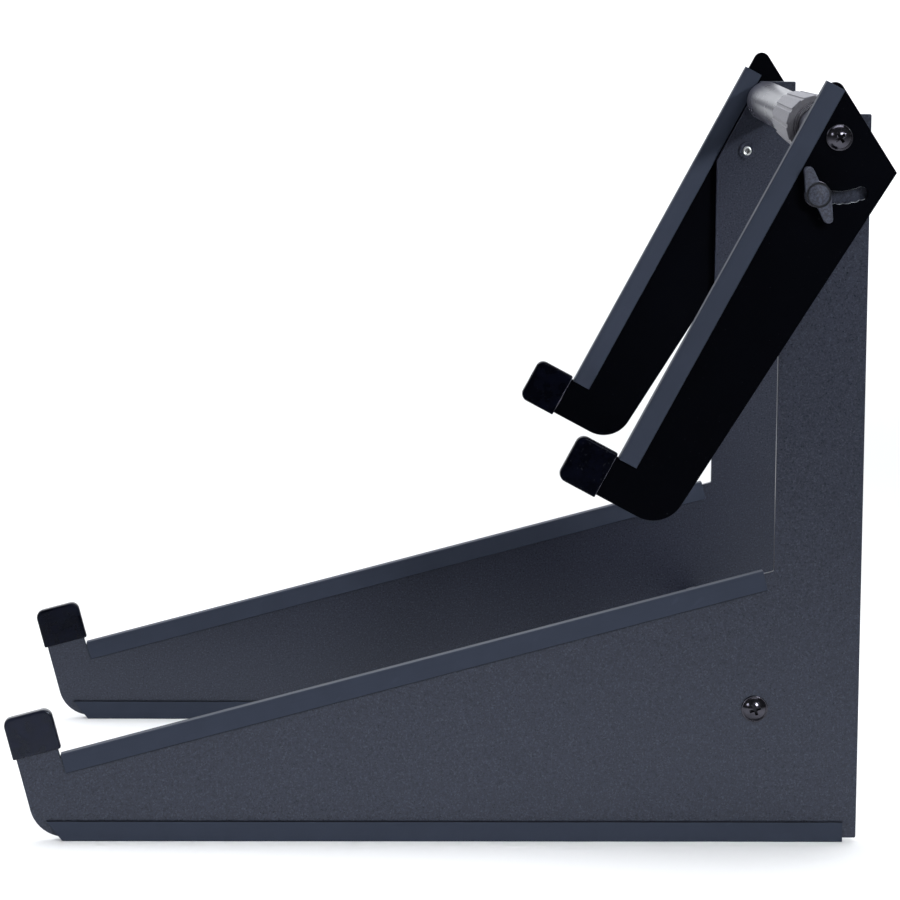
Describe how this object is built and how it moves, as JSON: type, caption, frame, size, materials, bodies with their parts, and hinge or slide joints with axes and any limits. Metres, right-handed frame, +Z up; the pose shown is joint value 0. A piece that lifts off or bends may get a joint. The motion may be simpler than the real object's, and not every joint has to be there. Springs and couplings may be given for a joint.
{
  "type": "desktop studio stand",
  "caption": "Desktop stand of L-shaped steel side plates with rubber edge trims, tilting upper arms with capped lips and wing bolts, and telescoping twist-lock cross tubes.",
  "frame": {"origin": "centre of the stand's bounding box, at the table under the base trims", "axes": "+X from the lips at the front to the columns at the back, +Y from the side with the upper inner tube to the other side, +Z up"},
  "size_m": [0.4409, 0.3518, 0.3841],
  "materials": {
    "side_steel": "speckled satin powder coat",
    "arm_steel": "fine satin powder coat",
    "trim_rubber": "matt extruded rubber",
    "dipped_vinyl": "glossy dipped vinyl",
    "tube_paint": "satin",
    "collar_plastic": "satin moulded",
    "wing_plastic": "mottled glass-filled nylon",
    "black_screw": "black nickel",
    "zinc_steel": "zinc plated",
    "black_nylon": "matt",
    "grip_plastic": "satin acetal"
  },
  "bodies": {
    "near_frame": {"near_side_plate": "side_steel", "near_base_trim": "trim_rubber", "near_shelf_trim": "trim_rubber", "near_shelf_lip_cap": "dipped_vinyl", "near_pivot_spacer": "black_nylon", "near_slot_spacer": "black_nylon", "near_pivot_screw": "black_screw", "near_base_screw": "black_screw", "near_clinch_nut": "zinc_steel", "top_inner_tube": "tube_paint", "top_guide_bush": "black_nylon", "top_inner_plug": "black_nylon", "bottom_outer_tube": "tube_paint", "bottom_outer_plug": "black_nylon", "bottom_thread_sleeve": "black_nylon"},
    "near_arm": {"near_arm": "arm_steel", "near_arm_trim": "trim_rubber", "near_arm_lip_cap": "dipped_vinyl"},
    "near_clamp": {"near_wing_washer": "zinc_steel"},
    "near_wing": {"near_wing_knob": "wing_plastic", "near_wing_stud": "zinc_steel"},
    "far_frame": {"far_side_plate": "side_steel", "far_base_trim": "trim_rubber", "far_shelf_trim": "trim_rubber", "far_shelf_lip_cap": "dipped_vinyl", "far_pivot_spacer": "black_nylon", "far_slot_spacer": "black_nylon", "far_pivot_screw": "black_screw", "far_base_screw": "black_screw", "far_clinch_nut": "zinc_steel", "top_outer_tube": "tube_paint", "top_outer_plug": "black_nylon", "top_thread_sleeve": "black_nylon", "bottom_inner_tube": "tube_paint", "bottom_guide_bush": "black_nylon", "bottom_inner_plug": "black_nylon"},
    "far_arm": {"far_arm": "arm_steel", "far_arm_trim": "trim_rubber", "far_arm_lip_cap": "dipped_vinyl"},
    "far_clamp": {"far_wing_washer": "zinc_steel"},
    "far_wing": {"far_wing_knob": "wing_plastic", "far_wing_stud": "zinc_steel"},
    "top_grip": {"top_collet": "grip_plastic"},
    "top_collar": {"top_lock_collar": "collar_plastic"},
    "bottom_grip": {"bottom_collet": "grip_plastic"},
    "bottom_collar": {"bottom_lock_collar": "collar_plastic"}
  },
  "joints": [
    {"name": "width_slide", "type": "slide", "parent": "far_frame", "child": "near_frame", "axis": [0, -1, 0], "range_m": [-0.072, 0.055]},
    {"name": "near_arm_tilt", "type": "hinge", "parent": "near_frame", "child": "near_arm", "pos_m": [0.19149, -0.1644, 0.3556], "axis": [0, 1, 0], "range_deg": [0, 43.2]},
    {"name": "near_clamp_travel", "type": "slide", "parent": "near_frame", "child": "near_clamp", "axis": [0, -1, 0], "range_m": [0, 0.0016]},
    {"name": "near_wing_turn", "type": "hinge", "parent": "near_clamp", "child": "near_wing", "pos_m": [0.18093, -0.169, 0.32752], "axis": [0, -1, 0], "range_deg": [0, 721]},
    {"name": "far_arm_tilt", "type": "hinge", "parent": "far_frame", "child": "far_arm", "pos_m": [0.19149, 0.1644, 0.3556], "axis": [0, 1, 0], "range_deg": [0, 43.2]},
    {"name": "far_clamp_travel", "type": "slide", "parent": "far_frame", "child": "far_clamp", "axis": [0, 1, 0], "range_m": [0, 0.0016]},
    {"name": "far_wing_turn", "type": "hinge", "parent": "far_clamp", "child": "far_wing", "pos_m": [0.18093, 0.169, 0.32752], "axis": [0, 1, 0], "range_deg": [0, 721]},
    {"name": "top_grip_travel", "type": "slide", "parent": "far_frame", "child": "top_grip", "axis": [0, -1, 0], "range_m": [0, 0.0015]},
    {"name": "top_collar_turn", "type": "hinge", "parent": "top_grip", "child": "top_collar", "pos_m": [0.19149, -0.0345, 0.3556], "axis": [0, -1, 0], "range_deg": [0, 181]},
    {"name": "bottom_grip_travel", "type": "slide", "parent": "near_frame", "child": "bottom_grip", "axis": [0, 1, 0], "range_m": [0, 0.0015]},
    {"name": "bottom_collar_turn", "type": "hinge", "parent": "bottom_grip", "child": "bottom_collar", "pos_m": [0.15549, 0.0345, 0.068], "axis": [0, 1, 0], "range_deg": [0, 181]}
  ],
  "couplings": [
    {"joint": "near_wing_turn", "follows": "near_clamp_travel", "rad_per_m": 7854},
    {"joint": "far_wing_turn", "follows": "far_clamp_travel", "rad_per_m": 7854},
    {"joint": "top_collar_turn", "follows": "top_grip_travel", "rad_per_m": 2094.4},
    {"joint": "bottom_collar_turn", "follows": "bottom_grip_travel", "rad_per_m": 2094.4}
  ]
}
